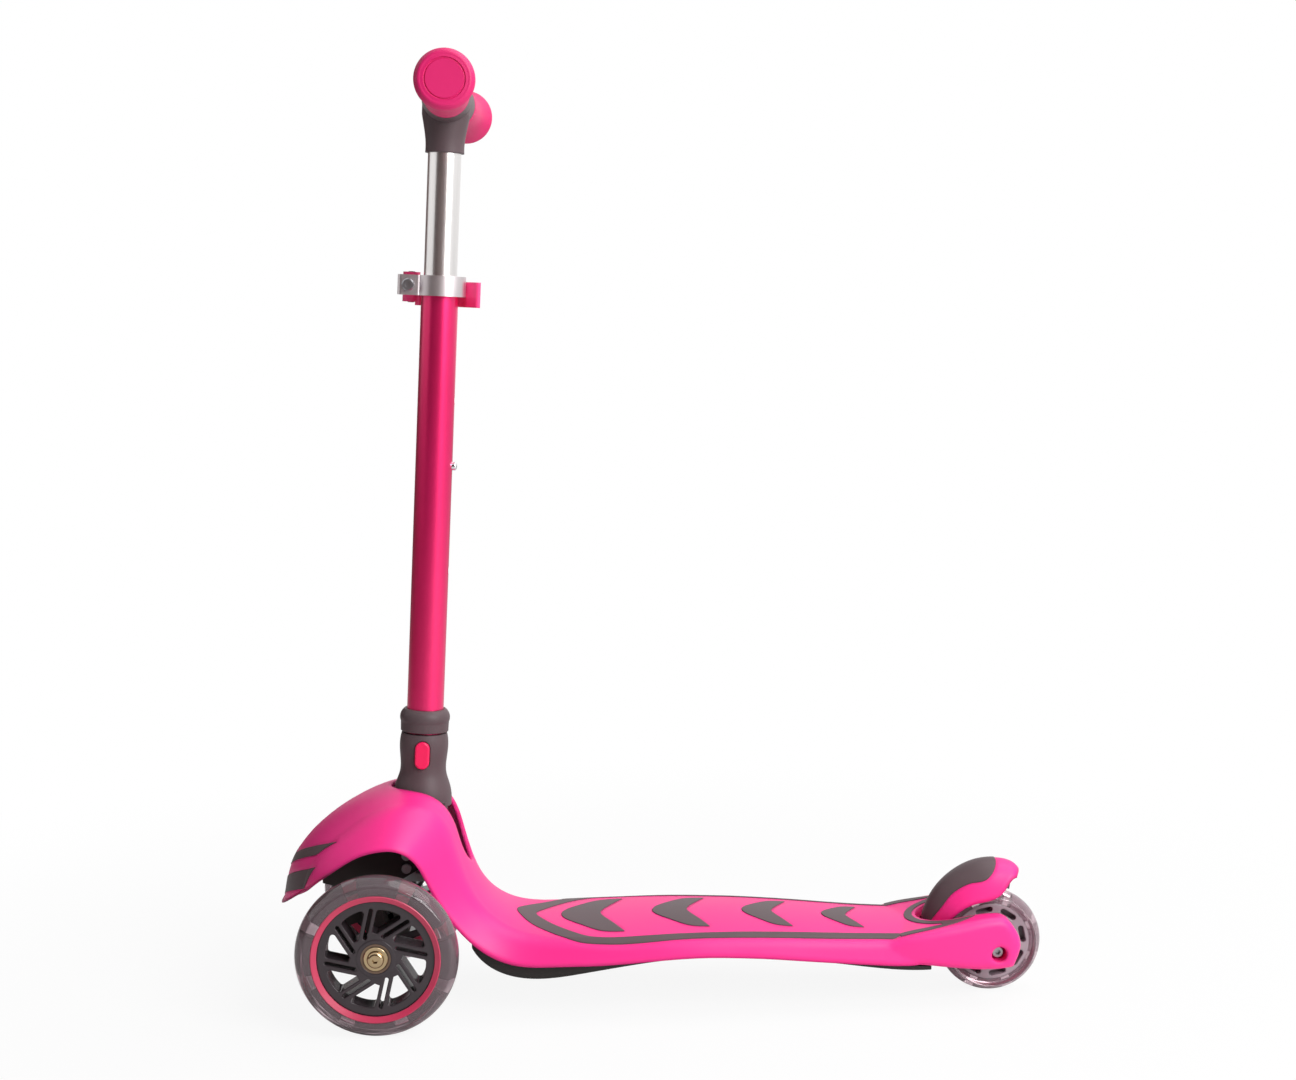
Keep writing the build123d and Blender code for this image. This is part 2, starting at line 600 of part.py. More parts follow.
def window():
    """Opening between two spokes, with round corners."""
    outline = [
        Line(WINDOW[0], WINDOW[1]),
        ThreePointArc(WINDOW[1], WINDOW[2], WINDOW[3]),
        Line(WINDOW[3], WINDOW[4]),
        Line(WINDOW[4], WINDOW[0]),
    ]
    face = make_face(outline)
    return fillet(face.vertices().filter_by(lambda v: hypot(v.X, v.Y) > HUB_R + 8), WINDOW_CORNER)


def ring_sector(inner, outer, span):
    """Plan of a block between two radii, over a span of degrees centred on X."""
    x = 2 * outer * cos(radians(span / 2))
    y = 2 * outer * sin(radians(span / 2))
    wedge = Polyline([(0, 0), (x, -y), (x, y)], close=True)
    return (Circle(outer) - Circle(inner)) & make_face(wedge)


def front_core():
    """Wheel core with tangent spokes, each split by a slot, and blocks that key into the tyre."""
    plan = Circle(RIM_R)
    opening = window()
    slot = Pos(*SPOKE_SLOT) * SlotOverall(*SPOKE_SLOT_SIZE)
    tooth = extrude(ring_sector(RIM_R - 1, BLOCK_R, BLOCK_SPAN), amount=BLOCK_HALF, both=True)
    for k in range(SPOKES):
        turn = Rot(0, 0, SPOKE_TURN + k * 360 / SPOKES)
        plan -= turn * opening
        plan -= turn * slot
    core = extrude(plan, amount=CORE_HALF, both=True)
    core += Cylinder(HUB_R, 2 * HUB_FACE)
    for k in range(SPOKES):
        core += Rot(0, 0, BLOCK_TURN + k * 360 / SPOKES) * tooth
    core -= Cylinder(AXLE_R + 3, 40)
    for side in (-1, 1):
        seat = Cylinder(BEARING_R, BEARING_WIDTH + 1)
        core -= Pos(0, 0, side * (HUB_FACE - BEARING_WIDTH / 2 + 0.5)) * seat
    return core


def front_wheels():
    core = front_core()
    rubber = tyre(FRONT_R, RIM_R, WHEEL_WIDTH / 2, 6.0)
    rise, run = BAND_CONE
    face = WHEEL_WIDTH / 2
    seat = face - run
    band = [(RIM_R, seat), (RIM_R + rise, face), (RIM_R + rise - 0.6, face + 0.5), (RIM_R, seat + 1.1)]
    rim_band = turned(Polyline(band, close=True))
    rubber -= core
    inset = HUB_FACE - BEARING_WIDTH
    spacer = pipe((0, 0, -inset), (0, 0, inset), 6, AXLE_R + RUNNING_GAP)
    for side, place in (("left", LEFT_WHEEL), ("right", RIGHT_WHEEL)):
        nodes[side + "_wheel_core"] = place.location * core
        nodes[side + "_tyre"] = place.location * rubber
        bands = [rim_band, mirror(rim_band, about=Plane.XY)]
        nodes[side + "_rim_bands"] = Compound([(place.location * b).solid() for b in bands])
        nodes[side + "_bearings"] = bearings(place)
        nodes[side + "_spacer"] = place.location * spacer


REAR_RIM_R = 30.0
REAR_SLOT_R = 25.0
REAR_SLOT_TURN = 13.0


def rear_wheel():
    plan = Circle(REAR_RIM_R) - Circle(BEARING_R - 2)
    for k in range(REAR_SLOTS):
        slot = Pos(0, REAR_SLOT_R) * SlotOverall(13.5, 4.4)
        plan -= Rot(0, 0, REAR_SLOT_TURN + k * 360 / REAR_SLOTS) * slot
    core = extrude(plan, amount=CORE_HALF, both=True)
    core += Cylinder(HUB_R, 2 * HUB_FACE) - Cylinder(BEARING_R - 2, 40)
    for side in (-1, 1):
        seat = Cylinder(BEARING_R, BEARING_WIDTH + 1)
        core -= Pos(0, 0, side * (HUB_FACE - BEARING_WIDTH / 2 + 0.5)) * seat
    sector = ring_sector(REAR_RIM_R - 1, REAR_RIM_R + 4, BLOCK_SPAN)
    tooth = extrude(sector, amount=BLOCK_HALF, both=True)
    for k in range(REAR_SLOTS):
        core += Rot(0, 0, k * 360 / REAR_SLOTS) * tooth
    rubber = tyre(REAR_R, REAR_RIM_R, WHEEL_WIDTH / 2, 5.0) - core
    inset = HUB_FACE - BEARING_WIDTH
    spacer = pipe((0, 0, -inset), (0, 0, inset), 6, AXLE_R + RUNNING_GAP)
    nodes["rear_wheel_core"] = REAR_WHEEL.location * core
    nodes["rear_tyre"] = REAR_WHEEL.location * rubber
    nodes["rear_bearings"] = bearings(REAR_WHEEL)
    nodes["rear_spacer"] = REAR_WHEEL.location * spacer
    floor = AXLE_FLOOR
    cap = floor + AXLE_HEAD
    axle = rod((0, 0, -floor), (0, 0, floor), AXLE_R)
    head = turned(Polyline([(0, floor), (4.6, floor), (4.6, cap - 0.8), (3.9, cap), (0, cap)], close=True))
    head -= hex_prism(4, floor + 1.5, floor + 6)
    nodes["rear_axle"] = REAR_WHEEL.location * (axle + head + mirror(head, about=Plane.XY))
    sleeve = pipe((0, 0, HUB_FACE + 0.1), (0, 0, SLOT_HALF), 6.2, AXLE_R)
    sleeves = [sleeve, mirror(sleeve, about=Plane.XY)]
    nodes["axle_sleeves"] = Compound([(REAR_WHEEL.location * s).solid() for s in sleeves])


# Brake fender. Each station has the crest, the foot, and the half widths at shoulder and foot.
FENDER = [
    ((202.5, 55), (213.5, 49.5), 9.5, 11.5),
    ((205, 67), (219.5, 57.5), 13, 17.5),
    ((211.5, 79.2), (226.5, 65.5), 15.5, 21),
    ((221.5, 90.2), (236, 71.8), 17, 22),
    ((236, 99.6), (247, 74.9), 18, 22.3),
    ((252, 103.9), (258, 79), 18, 22.3),
    ((267, 103), (266, 88), 16, 21),
    ((277, 97), (272.5, 93.2), 13.5, 19),
]
FENDER_WALL = 3.0
PAD_SIDE = [(207, 56), (210, 61.6), (216, 70.5), (222.4, 79.3), (230.2, 85.3), (238, 88.8)]
PAD_SIDE += [(248, 91), (254, 96), (258.5, 104)]
SHOE_R = 44.0
SHOE_TOP = 57.5
SHOE_HALF = 9.5
PEG_TOP = 61.0


def fender_line(station, wall):
    """Edges of the arch section set in by wall, from the left foot over the crest."""
    top, base, half, skirt = station
    depth = hypot(base[0] - top[0], base[1] - top[1])
    down = Vector(base[0] - top[0], 0, base[1] - top[1]) * (1 / depth)
    drop = min(0.72 * half, 0.55 * depth) + 0.4 * wall
    start = Vector(top[0], 0, top[1])
    crest = start + down * wall
    reach = Vector(0, half - 0.85 * wall, 0)
    foot = Vector(0, skirt - wall, 0)
    return [
        Edge.make_line(start - foot + down * depth, start - reach + down * drop),
        Edge.make_three_point_arc(start - reach + down * drop, crest, start + reach + down * drop),
        Edge.make_line(start + reach + down * drop, start + foot + down * depth),
    ]


def fender_layer(outside, inside):
    wires = []
    for station in FENDER:
        over = fender_line(station, outside)
        under = fender_line(station, inside)
        rims = [Edge.make_line(over[2] @ 1, under[2] @ 1), Edge.make_line(under[0] @ 0, over[0] @ 0)]
        wires.append(Wire(over + under + rims))
    return Solid.make_loft(wires)


def brake():
    shell = fender_layer(0, FENDER_WALL)
    sheet = fender_layer(-0.5, 1.2)
    rear, front = (PAD_SIDE[-1][0], 115), (195, 115)
    side = [
        Spline(PAD_SIDE),
        Line(PAD_SIDE[-1], rear),
        Line(rear, front),
        Line(front, (195, PAD_SIDE[0][1])),
        Line((195, PAD_SIDE[0][1]), PAD_SIDE[0]),
    ]
    pad = sheet & across(side, -40, 40)
    hub = rod((BRAKE_X, -13, BRAKE_Z), (BRAKE_X, 13, BRAKE_Z), 5.5)
    web = Polyline([(203.4, 56), (212, 54), (211, 46), (203, 47.5)], close=True)
    shell += hub + across(web, -9, 9)
    shell -= rod((BRAKE_X, -30, BRAKE_Z), (BRAKE_X, 30, BRAKE_Z), BRAKE_PIN_R + RUNNING_GAP)
    shell -= pad
    nodes["brake_pad"] = pad

    def on_wheel(angle, radius):
        return (REAR_AXLE_X + radius * cos(radians(angle)), REAR_R + radius * sin(radians(angle)))

    face = ThreePointArc(on_wheel(116, SHOE_R), on_wheel(95, SHOE_R), on_wheel(72, SHOE_R))
    back = ThreePointArc(on_wheel(74, SHOE_TOP), on_wheel(95, SHOE_TOP), on_wheel(112, SHOE_TOP))
    ends = [Line(face @ 1, back @ 0), Line(back @ 1, face @ 0)]
    shoe = across([face, back] + ends, -SHOE_HALF, SHOE_HALF)
    for angle in (84, 104):
        low = on_wheel(angle, SHOE_TOP - 4)
        high = on_wheel(angle, PEG_TOP)
        shoe += rod((low[0], 0, low[1]), (high[0], 0, high[1]), 3)
    nodes["brake_shoe"] = shoe
    nodes["brake_fender"] = shell - shoe
    pin_end = (BRAKE_X, BRAKE_PIN_END, BRAKE_Z)
    nodes["brake_pin"] = rod((BRAKE_X, -BRAKE_PIN_END, BRAKE_Z), pin_end, BRAKE_PIN_R)


# Stem, in its own frame along the steering column
SOCKET_LINE = [(22.6, 152), (22.6, 157), (20, 169.5), (17.9, 176), (18.4, 194), (17.9, 205), (17.3, 207.5)]
TUBE_LOW = 166.0
TUBE_HIGH = 554.0
INNER_LOW = 395.0
INNER_HIGH = 668.0
TONGUE_HALF = 15.8
SNAP_R = 3.3
SNAP_HOLE_R = 3.6
CLAMP_R = 19.3
CLAMP_BOLT_X = -23.0
LEVER_Y = 20.0


def oval(width, height, near, far):
    """Upright oval bar across the stem at the height of the fold button."""
    place = Plane((0, far, BUTTON_S), (1, 0, 0), (0, -1, 0)).location
    face = place * (Rot(0, 0, 90) * SlotOverall(height, width))
    return extrude(face, amount=far - near, dir=(0, -1, 0))


def stem_socket():
    outline = [
        Line((0, 152), SOCKET_LINE[0]),
        Line(SOCKET_LINE[0], SOCKET_LINE[1]),
        Spline(SOCKET_LINE[1:]),
        Line(SOCKET_LINE[-1], (14.05, 207.5)),
        Line((14.05, 207.5), (14.05, 165)),
        Line((14.05, 165), (0, 165)),
        Line((0, 165), (0, 152)),
    ]
    socket = turned(outline)
    tongue = rod((FOLD_X, -TONGUE_HALF, FOLD_S), (FOLD_X, TONGUE_HALF, FOLD_S), 13)
    tongue += block((FOLD_X - 13, -TONGUE_HALF, FOLD_S), (FOLD_X + 13, TONGUE_HALF, 156))
    socket += tongue
    socket -= rod((FOLD_X, -30, FOLD_S), (FOLD_X, 30, FOLD_S), FOLD_PIN_R + RUNNING_GAP)
    socket -= block((-5, -16, 120), (5, -9.4, 157))
    socket -= block((-5, -12.6, 150), (5, -9.4, 170))
    socket -= oval(11.6, 21.6, -30, -10)
    nodes["stem_socket"] = STEM.location * socket
    ring = [
        Line((14.05, 209), (18.2, 209)),
        Line((18.2, 209), (18.4, 216)),
        ThreePointArc((18.4, 216), (17.9, 223.5), (15.6, 226)),
        Line((15.6, 226), (14.05, 226)),
        Line((14.05, 226), (14.05, 209)),
    ]
    nodes["socket_ring"] = STEM.location * turned(ring)
    button = oval(11, 21, -20.3, -15.2)
    button = fillet(button.faces().sort_by(Axis.Y)[0].edges(), 1.2)
    nodes["fold_button"] = STEM.location * button
    strip = block((-4, -12, 146), (4, -10.8, 204))
    strip += block((-3, -19.6, 143.6), (3, -10.8, 147))
    nodes["lock_leaf"] = STEM.location * strip


def tubes():
    outer = pipe((0, 0, TUBE_LOW), (0, 0, TUBE_HIGH), OUTER_TUBE_R, OUTER_TUBE_BORE)
    outer -= oval(12, 22, -30, -5)
    for shift in (-HEIGHT_DOWN, 0, HEIGHT_UP):
        outer -= rod((5, 0, SNAP_S + shift), (20, 0, SNAP_S + shift), SNAP_HOLE_R)
    outer -= block((-20, -1, 520), (-5, 1, 560))
    nodes["outer_tube"] = STEM.location * outer
    inner = pipe((0, 0, INNER_LOW), (0, 0, INNER_HIGH), INNER_TUBE_R, INNER_TUBE_BORE)
    inner -= rod((5, 0, SNAP_S), (20, 0, SNAP_S), SNAP_HOLE_R)
    nodes["inner_tube"] = STEM.location * inner
    line = [
        Line((0, 9.0), (4.2, 9.0)),
        Line((4.2, 9.0), (4.2, 10.0)),
        Line((4.2, 10.0), (SNAP_R, 10.0)),
        Line((SNAP_R, 10.0), (SNAP_R, 16.0)),
        ThreePointArc((SNAP_R, 16.0), (2.6, 17.0), (1.2, 17.4)),
        Line((1.2, 17.4), (0, 17.4)),
        Line((0, 17.4), (0, 9.0)),
    ]
    place = Plane((0, 0, SNAP_S), (0, 1, 0), (1, 0, 0))
    nodes["snap_button"] = STEM.location * (place.location * turned(line))
    outside = [(8.9, 420), (8.9, 402), (3, 372), (-3, 372), (-9.6, 406)]
    inside = [(-8.8, 406), (-2.4, 373), (2.4, 373), (8.0, 402), (8.0, 420)]
    leaf = across(Polyline(outside + inside, close=True), -3.5, 3.5)
    nodes["snap_spring"] = STEM.location * leaf


def clamp():
    low = CLAMP_S - CLAMP_HEIGHT / 2
    high = CLAMP_S + CLAMP_HEIGHT / 2
    ears = Pos(-22, 0) * RectangleRounded(18, 26, 3) + Pos(-13, 0) * Rectangle(10, 22)
    plan = Circle(CLAMP_R) + ears - Circle(14.05) - Pos(-25, 0) * Rectangle(30, 2.4)
    collar = Pos(0, 0, low) * extrude(plan, amount=CLAMP_HEIGHT, dir=(0, 0, 1))
    collar -= rod((CLAMP_BOLT_X, -30, CLAMP_S), (CLAMP_BOLT_X, 30, CLAMP_S), 2.6)
    nodes["clamp_collar"] = STEM.location * collar
    bolt = rod((CLAMP_BOLT_X, -15, CLAMP_S), (CLAMP_BOLT_X, LEVER_Y, CLAMP_S), 2.5)
    head = turned(Polyline([(0, 13.1), (4.7, 13.1), (4.7, 15.4), (3.9, 16.4), (0, 16.4)], close=True))
    head -= hex_prism(4, 14.2, 18)
    place = Plane((CLAMP_BOLT_X, 0, CLAMP_S), (1, 0, 0), (0, -1, 0))
    bolt += place.location * head
    bolt += rod((CLAMP_BOLT_X, LEVER_Y, CLAMP_S - 3.5), (CLAMP_BOLT_X, LEVER_Y, CLAMP_S + 3.5), 5)
    bolt -= rod((CLAMP_BOLT_X, LEVER_Y, low - 9), (CLAMP_BOLT_X, LEVER_Y, high + 9), 2.5)
    nodes["clamp_bolt"] = STEM.location * bolt
    nodes["lever_pin"] = STEM.location * rod(
        (CLAMP_BOLT_X, LEVER_Y, CLAMP_S - 13), (CLAMP_BOLT_X, LEVER_Y, CLAMP_S + 10.5), 2.5
    )
    hub = rod((CLAMP_BOLT_X, LEVER_Y, CLAMP_S - 12.5), (CLAMP_BOLT_X, LEVER_Y, CLAMP_S + 10), 6.5)
    band = Circle(25.5) - Circle(20.6)
    sector = Polyline([(0, 0), (-40, 33), (-40, 60), (60, 60), (60, 22)], close=True)
    band &= make_face(sector)
    tail = [
        Line((19.3, 7.08), (24, 8.8)),
        Line((24, 8.8), (30, 3)),
        ThreePointArc((30, 3), (29.5, 0), (27, 0)),
        Line((27, 0), (19.3, 7.08)),
    ]
    grip = Pos(0, 0, CLAMP_S - 15) * extrude(band, amount=19, dir=(0, 0, 1))
    grip += upright(tail, CLAMP_S - 15, CLAMP_S + 4)
    lever = hub + grip
    lever -= rod((CLAMP_BOLT_X, LEVER_Y, low - 9), (CLAMP_BOLT_X, LEVER_Y, high + 9), 2.5 + RUNNING_GAP)
    lever -= rod((CLAMP_BOLT_X, LEVER_Y, CLAMP_S - 3.8), (CLAMP_BOLT_X, LEVER_Y, CLAMP_S + 3.8), 7.2)
    nodes["clamp_lever"] = STEM.location * lever


# Handle, along the bar from the middle of the tee
BAR_R = 11.0
BAR_BORE = 9.5
BAR_END = 141.0
GRIP_START = 43.0
GRIP_END = 147.6
RIGHT_BAR = STEM.location * Pos(0, 0, HANDLE_S) * Rot(0, 0, -HANDLE_SWEEP) * Rot(-90, 0, 0)


def grip_outline():
    return [
        Line((BAR_R + 0.02, GRIP_START), (16.2, GRIP_START)),
        ThreePointArc((16.2, GRIP_START), (17.0, GRIP_START + 0.8), (17.0, GRIP_START + 3)),
        Spline([(17.0, GRIP_START + 3), (16.4, 70), (15.4, 95), (16.2, 120), (19.0, 133), (20.6, 138)]),
        ThreePointArc((20.6, 138), (KNOB_R, 142), (19.2, 146)),
        ThreePointArc((19.2, 146), (18.0, GRIP_END - 0.4), (16.4, GRIP_END - 0.2)),
        Line((16.4, GRIP_END - 0.2), (14.6, GRIP_END)),
        ThreePointArc((14.6, GRIP_END), (13.8, GRIP_END - 0.9), (13.0, GRIP_END)),
        Line((13.0, GRIP_END), (0, GRIP_END)),
        Line((0, GRIP_END), (0, BAR_END)),
        Line((0, BAR_END), (BAR_R + 0.02, BAR_END)),
        Line((BAR_R + 0.02, BAR_END), (BAR_R + 0.02, GRIP_START)),
    ]


def handle():
    grip = RIGHT_BAR * turned(grip_outline())
    nodes["right_grip"] = grip
    nodes["left_grip"] = mirror(grip, about=Plane.XZ)
    half_bar = RIGHT_BAR * pipe((0, 0, 0), (0, 0, BAR_END - 0.2), BAR_R, BAR_BORE)
    right_half = block((-400, 0, 0), (400, 400, 900))
    half_bar &= right_half
    nodes["crossbar"] = half_bar + mirror(half_bar, about=Plane.XZ)
    barrel_line = [
        Line((0, -6), (18.4, -6)),
        Spline([(18.4, -6), (18.4, 8), (17.4, 30), (17.1, 41)]),
        ThreePointArc((17.1, 41), (16.8, 42), (15.8, 42.6)),
        Line((15.8, 42.6), (0, 42.6)),
        Line((0, 42.6), (0, -6)),
    ]
    barrel = RIGHT_BAR * turned(barrel_line)
    barrel &= right_half
    neck_line = [
        Line((0, 646), (14.6, 646)),
        Spline([(14.6, 646), (14.8, 656), (16.4, 666), (18.0, 674)]),
        Line((18.0, 674), (18.0, 684)),
        Line((18.0, 684), (0, 684)),
        Line((0, 684), (0, 646)),
    ]
    sleeve = barrel + mirror(barrel, about=Plane.XZ)
    sleeve += STEM.location * turned(neck_line)
    sleeve -= STEM.location * rod((0, 0, 600), (0, 0, INNER_HIGH + 0.2), INNER_TUBE_R)
    bore = RIGHT_BAR * rod((0, 0, -2), (0, 0, 60), BAR_R)
    sleeve -= bore
    sleeve -= mirror(bore, about=Plane.XZ)
    nodes["tee_sleeve"] = sleeve


sheet = layer(-INLAY_PROUD, INLAY_DEPTH)
deck_inlays(sheet)
nose_inlays(sheet)
deck_shell()
undertray()
steering_carrier()
fold_bracket()
steering()
front_wheels()
rear_wheel()
brake()
stem_socket()
tubes()
clamp()
handle()

os.makedirs("parts", exist_ok=True)
for name, shape in nodes.items():
    export_step(shape, f"parts/{name}.step")
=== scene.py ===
# %% [markdown]
# # A folding kick scooter, dressed
#
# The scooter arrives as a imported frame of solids: every piece is already at its real size and
# place, in metres, with X to the back, Y to the rider's right and Z up. This lesson gives each
# piece the finish of the real one, draws the clear tyres again with finer curves, and sets soft
# light and a camera where the photo was taken.

# %% Load the frame
import bpy
import json
import math
import numpy as np
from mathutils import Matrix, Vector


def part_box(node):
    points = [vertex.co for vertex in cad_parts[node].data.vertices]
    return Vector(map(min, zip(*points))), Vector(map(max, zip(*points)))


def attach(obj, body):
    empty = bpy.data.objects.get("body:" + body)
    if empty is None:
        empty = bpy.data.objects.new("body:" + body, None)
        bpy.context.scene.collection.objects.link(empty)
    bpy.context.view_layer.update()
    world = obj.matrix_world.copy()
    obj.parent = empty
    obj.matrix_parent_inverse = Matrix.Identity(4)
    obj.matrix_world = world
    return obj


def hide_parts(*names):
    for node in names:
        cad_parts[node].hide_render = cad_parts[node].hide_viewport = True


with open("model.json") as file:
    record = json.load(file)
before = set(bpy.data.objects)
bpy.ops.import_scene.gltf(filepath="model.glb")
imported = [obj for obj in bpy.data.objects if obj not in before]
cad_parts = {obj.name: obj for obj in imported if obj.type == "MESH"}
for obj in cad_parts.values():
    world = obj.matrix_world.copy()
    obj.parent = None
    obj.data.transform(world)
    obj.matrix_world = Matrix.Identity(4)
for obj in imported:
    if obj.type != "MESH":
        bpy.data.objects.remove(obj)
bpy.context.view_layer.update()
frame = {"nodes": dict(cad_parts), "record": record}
scene = bpy.context.scene
scene.view_settings.view_transform = "Standard"
print("nodes:", len(frame["nodes"]))

# %% [markdown]
# ## Shader sums in plain Python
#
# A material is a little machine of nodes. Wiring the nodes by hand hides the idea, so one small
# class wraps a socket: adding or multiplying two of them adds the Math node, the bar sign takes
# the larger one, and `add` makes any other node from its type, its settings and its sockets.


# %% The socket class
class Flow:
    """A shader socket that takes part in Python sums."""

    def __init__(self, tree, socket=None):
        self.tree = tree
        self.socket = socket

    def add(self, kind, settings, sockets, out=0):
        """New node of a type: settings are set first, then its sockets get values or links."""
        node = self.tree.nodes.new(kind)
        for key, value in settings.items():
            setattr(node, key, value)
        for key, value in sockets.items():
            if isinstance(value, Flow):
                value.to(node.inputs[key])
            else:
                node.inputs[key].default_value = value
        return Flow(self.tree, node.outputs[out])

    def to(self, target):
        self.tree.links.new(self.socket, target)

    def combine(self, operation, other):
        return self.add("ShaderNodeMath", {"operation": operation}, {0: self, 1: other})

    def __add__(self, other):
        return self.combine("ADD", other)

    def __mul__(self, other):
        return self.combine("MULTIPLY", other)

    def __or__(self, other):
        return self.combine("MAXIMUM", other)

    __radd__ = __add__
    __rmul__ = __mul__
    __ror__ = __or__


print("socket class ready")

# %% [markdown]
# ## What every finish shares
#
# Real plastic and paint are never one flat colour: the tone drifts a little from place to place,
# the gloss is uneven, and a fine grain breaks up the highlight. Moulded edges are never sharp
# either, so a Bevel node can round the shading near them. Each material could be wired on its own,
# but they differ only in colours and amounts, so one function makes them all.


# %% Colours and an empty material
def srgb(red, green, blue):
    """Colour given on a 0 to 255 scale, as the linear colour that shaders use."""
    levels = np.array([red, green, blue]) / 255
    linear = np.where(levels <= 0.04045, levels / 12.92, ((levels + 0.055) / 1.055) ** 2.4)
    return (*linear.tolist(), 1.0)


def start_material(name):
    """Empty node tree with a principled shader on its output."""
    material = bpy.data.materials.new(name)
    material.use_nodes = True
    tree = material.node_tree
    tree.nodes.clear()
    output = tree.nodes.new("ShaderNodeOutputMaterial")
    shader = tree.nodes.new("ShaderNodeBsdfPrincipled")
    tree.links.new(shader.outputs[0], output.inputs["Surface"])
    return material, tree, shader


print("mid grey as linear:", round(srgb(128, 128, 128)[0], 3))

# %% The finish helper
TONE_DETAIL, GRAIN_DETAIL = 3.0, 2.0
GRAIN_STRENGTH = 0.6
EDGE_SAMPLES = 8
# The colour sockets of a Mix node share names with its number sockets, so they go by their places.
MIX_FACTOR, MIX_FIRST, MIX_SECOND, MIX_COLOUR = 0, 6, 7, 2


def finish(name, dark, light, rough, drift, grain, depth, stretch=(1, 1, 1), edge=0, **constants):
    """Principled finish: two tones mixed by slow noise, uneven gloss, and a fine grain bump.

    rough is the roughness range, drift the scale of the tone noise and grain the scale of the
    fine noise, both in waves per metre, and depth the height of the grain in metres. edge is the
    radius that rounds the shading of edges. Constants are named as the shader's sockets are, with
    low lines for spaces.
    """
    material, tree, shader = start_material(name)
    start = Flow(tree)
    place = start.add("ShaderNodeTexCoord", {}, {}, out="Object")
    place = start.add("ShaderNodeMapping", {}, {"Vector": place, "Scale": stretch})
    waves = {"Vector": place, "Scale": drift, "Detail": TONE_DETAIL}
    slow = start.add("ShaderNodeTexNoise", {}, waves)
    fine = start.add("ShaderNodeTexNoise", {}, {**waves, "Scale": grain, "Detail": GRAIN_DETAIL})
    tones = {MIX_FACTOR: slow, MIX_FIRST: dark, MIX_SECOND: light}
    start.add("ShaderNodeMix", {"data_type": "RGBA"}, tones, MIX_COLOUR).to(shader.inputs["Base Color"])
    (rough[0] + (rough[1] - rough[0]) * slow).to(shader.inputs["Roughness"])
    relief = {"Height": fine, "Distance": depth, "Strength": GRAIN_STRENGTH}
    if edge:
        relief["Normal"] = start.add("ShaderNodeBevel", {"samples": EDGE_SAMPLES}, {"Radius": edge})
    start.add("ShaderNodeBump", {}, relief).to(shader.inputs["Normal"])
    for key, value in constants.items():
        shader.inputs[key.replace("_", " ")].default_value = value
    return material


print("finish helper ready")

# %% [markdown]
# ## The bright moulded plastics
#
# The deck, hood and brake are one glossy pink plastic with broad, round edges. The lever is a
# redder pink, the fold button a deeper one, the rings on the wheels a dusty one, and the grips are
# a softer rubber. One colour each would look like paper, so two close tones drift into each other.
# The button shares the lever's slot, so its finish is kept by the name of its node.

# %% Pink plastics
BROAD_EDGE, SMALL_EDGE = 0.006, 0.0015
FINISHES = {}
OWN_FINISH = {}
FINISHES["body_pink"] = finish(
    "moulded_pink", srgb(246, 38, 136), srgb(252, 47, 145), rough=(0.4, 0.48),
    drift=9, grain=900, depth=0.00002, edge=BROAD_EDGE, Specular_IOR_Level=0.4,
)
FINISHES["lever_red"] = finish(
    "lever_pink", srgb(252, 58, 124), srgb(255, 70, 138), rough=(0.28, 0.38),
    drift=20, grain=1200, depth=0.00002, edge=SMALL_EDGE,
)
OWN_FINISH["fold_button"] = finish(
    "button_red", srgb(240, 6, 84), srgb(246, 12, 94), rough=(0.34, 0.42),
    drift=20, grain=1200, depth=0.00002, edge=SMALL_EDGE,
)
FINISHES["rim_pink"] = finish(
    "rim_band_pink", srgb(190, 52, 86), srgb(206, 62, 96), rough=(0.3, 0.4),
    drift=30, grain=1200, depth=0.00002,
)
FINISHES["grip_pink"] = finish(
    "grip_rubber", srgb(206, 8, 96), srgb(218, 12, 106), rough=(0.46, 0.56),
    drift=25, grain=1500, depth=0.00008,
)
print("finishes so far:", sorted(FINISHES))

# %% [markdown]
# ## Greys and blacks
#
# The socket, the tee and the inlays are a warm grey with a fine spark-eroded grain and little
# sheen; the tray and the steering parts below are nearly black. The grain is far too fine to model,
# so a dense noise in the bump stands for it, and a low specular level keeps the sheen down.

# %% Grey and black plastics
FINISHES["warm_grey"] = finish(
    "warm_grey_grain", srgb(81, 67, 70), srgb(95, 80, 84), rough=(0.42, 0.52),
    drift=30, grain=2200, depth=0.00006, edge=SMALL_EDGE, Specular_IOR_Level=0.25,
)
FINISHES["black_plastic"] = finish(
    "black_grain", srgb(20, 15, 13), srgb(32, 26, 23), rough=(0.5, 0.65),
    drift=30, grain=2000, depth=0.00006,
)
FINISHES["buffer_rubber"] = finish(
    "black_rubber", srgb(26, 26, 26), srgb(36, 36, 36), rough=(0.6, 0.75),
    drift=40, grain=1500, depth=0.00008,
)
print("finishes so far:", len(FINISHES))

# %% [markdown]
# ## Metals
#
# The lower tube is painted with a metallic raspberry under a clear coat, the upper tube is
# polished and drawn along its length, and the fasteners are plated. The drawing lines could be
# cut into the tube, but a noise that is stretched along it gives them without a single face.

# %% Tubes and clamp
ALONG_TUBE = (40, 40, 1)
FINISHES["tube_paint"] = finish(
    "raspberry_metallic", srgb(228, 26, 97), srgb(245, 34, 116), rough=(0.28, 0.34),
    drift=12, grain=4000, depth=0.00002, Metallic=0.75, Coat_Weight=0.5, Coat_Roughness=0.2,
)
FINISHES["polished_tube"] = finish(
    "drawn_aluminium", srgb(226, 223, 222), srgb(240, 237, 236), rough=(0.22, 0.3),
    drift=12, grain=60, depth=0.00001, stretch=ALONG_TUBE, Metallic=1.0,
)
FINISHES["clamp_silver"] = finish(
    "satin_aluminium", srgb(206, 198, 200), srgb(224, 216, 218), rough=(0.3, 0.42),
    drift=60, grain=3000, depth=0.00003, Metallic=1.0,
)
print("finishes so far:", len(FINISHES))

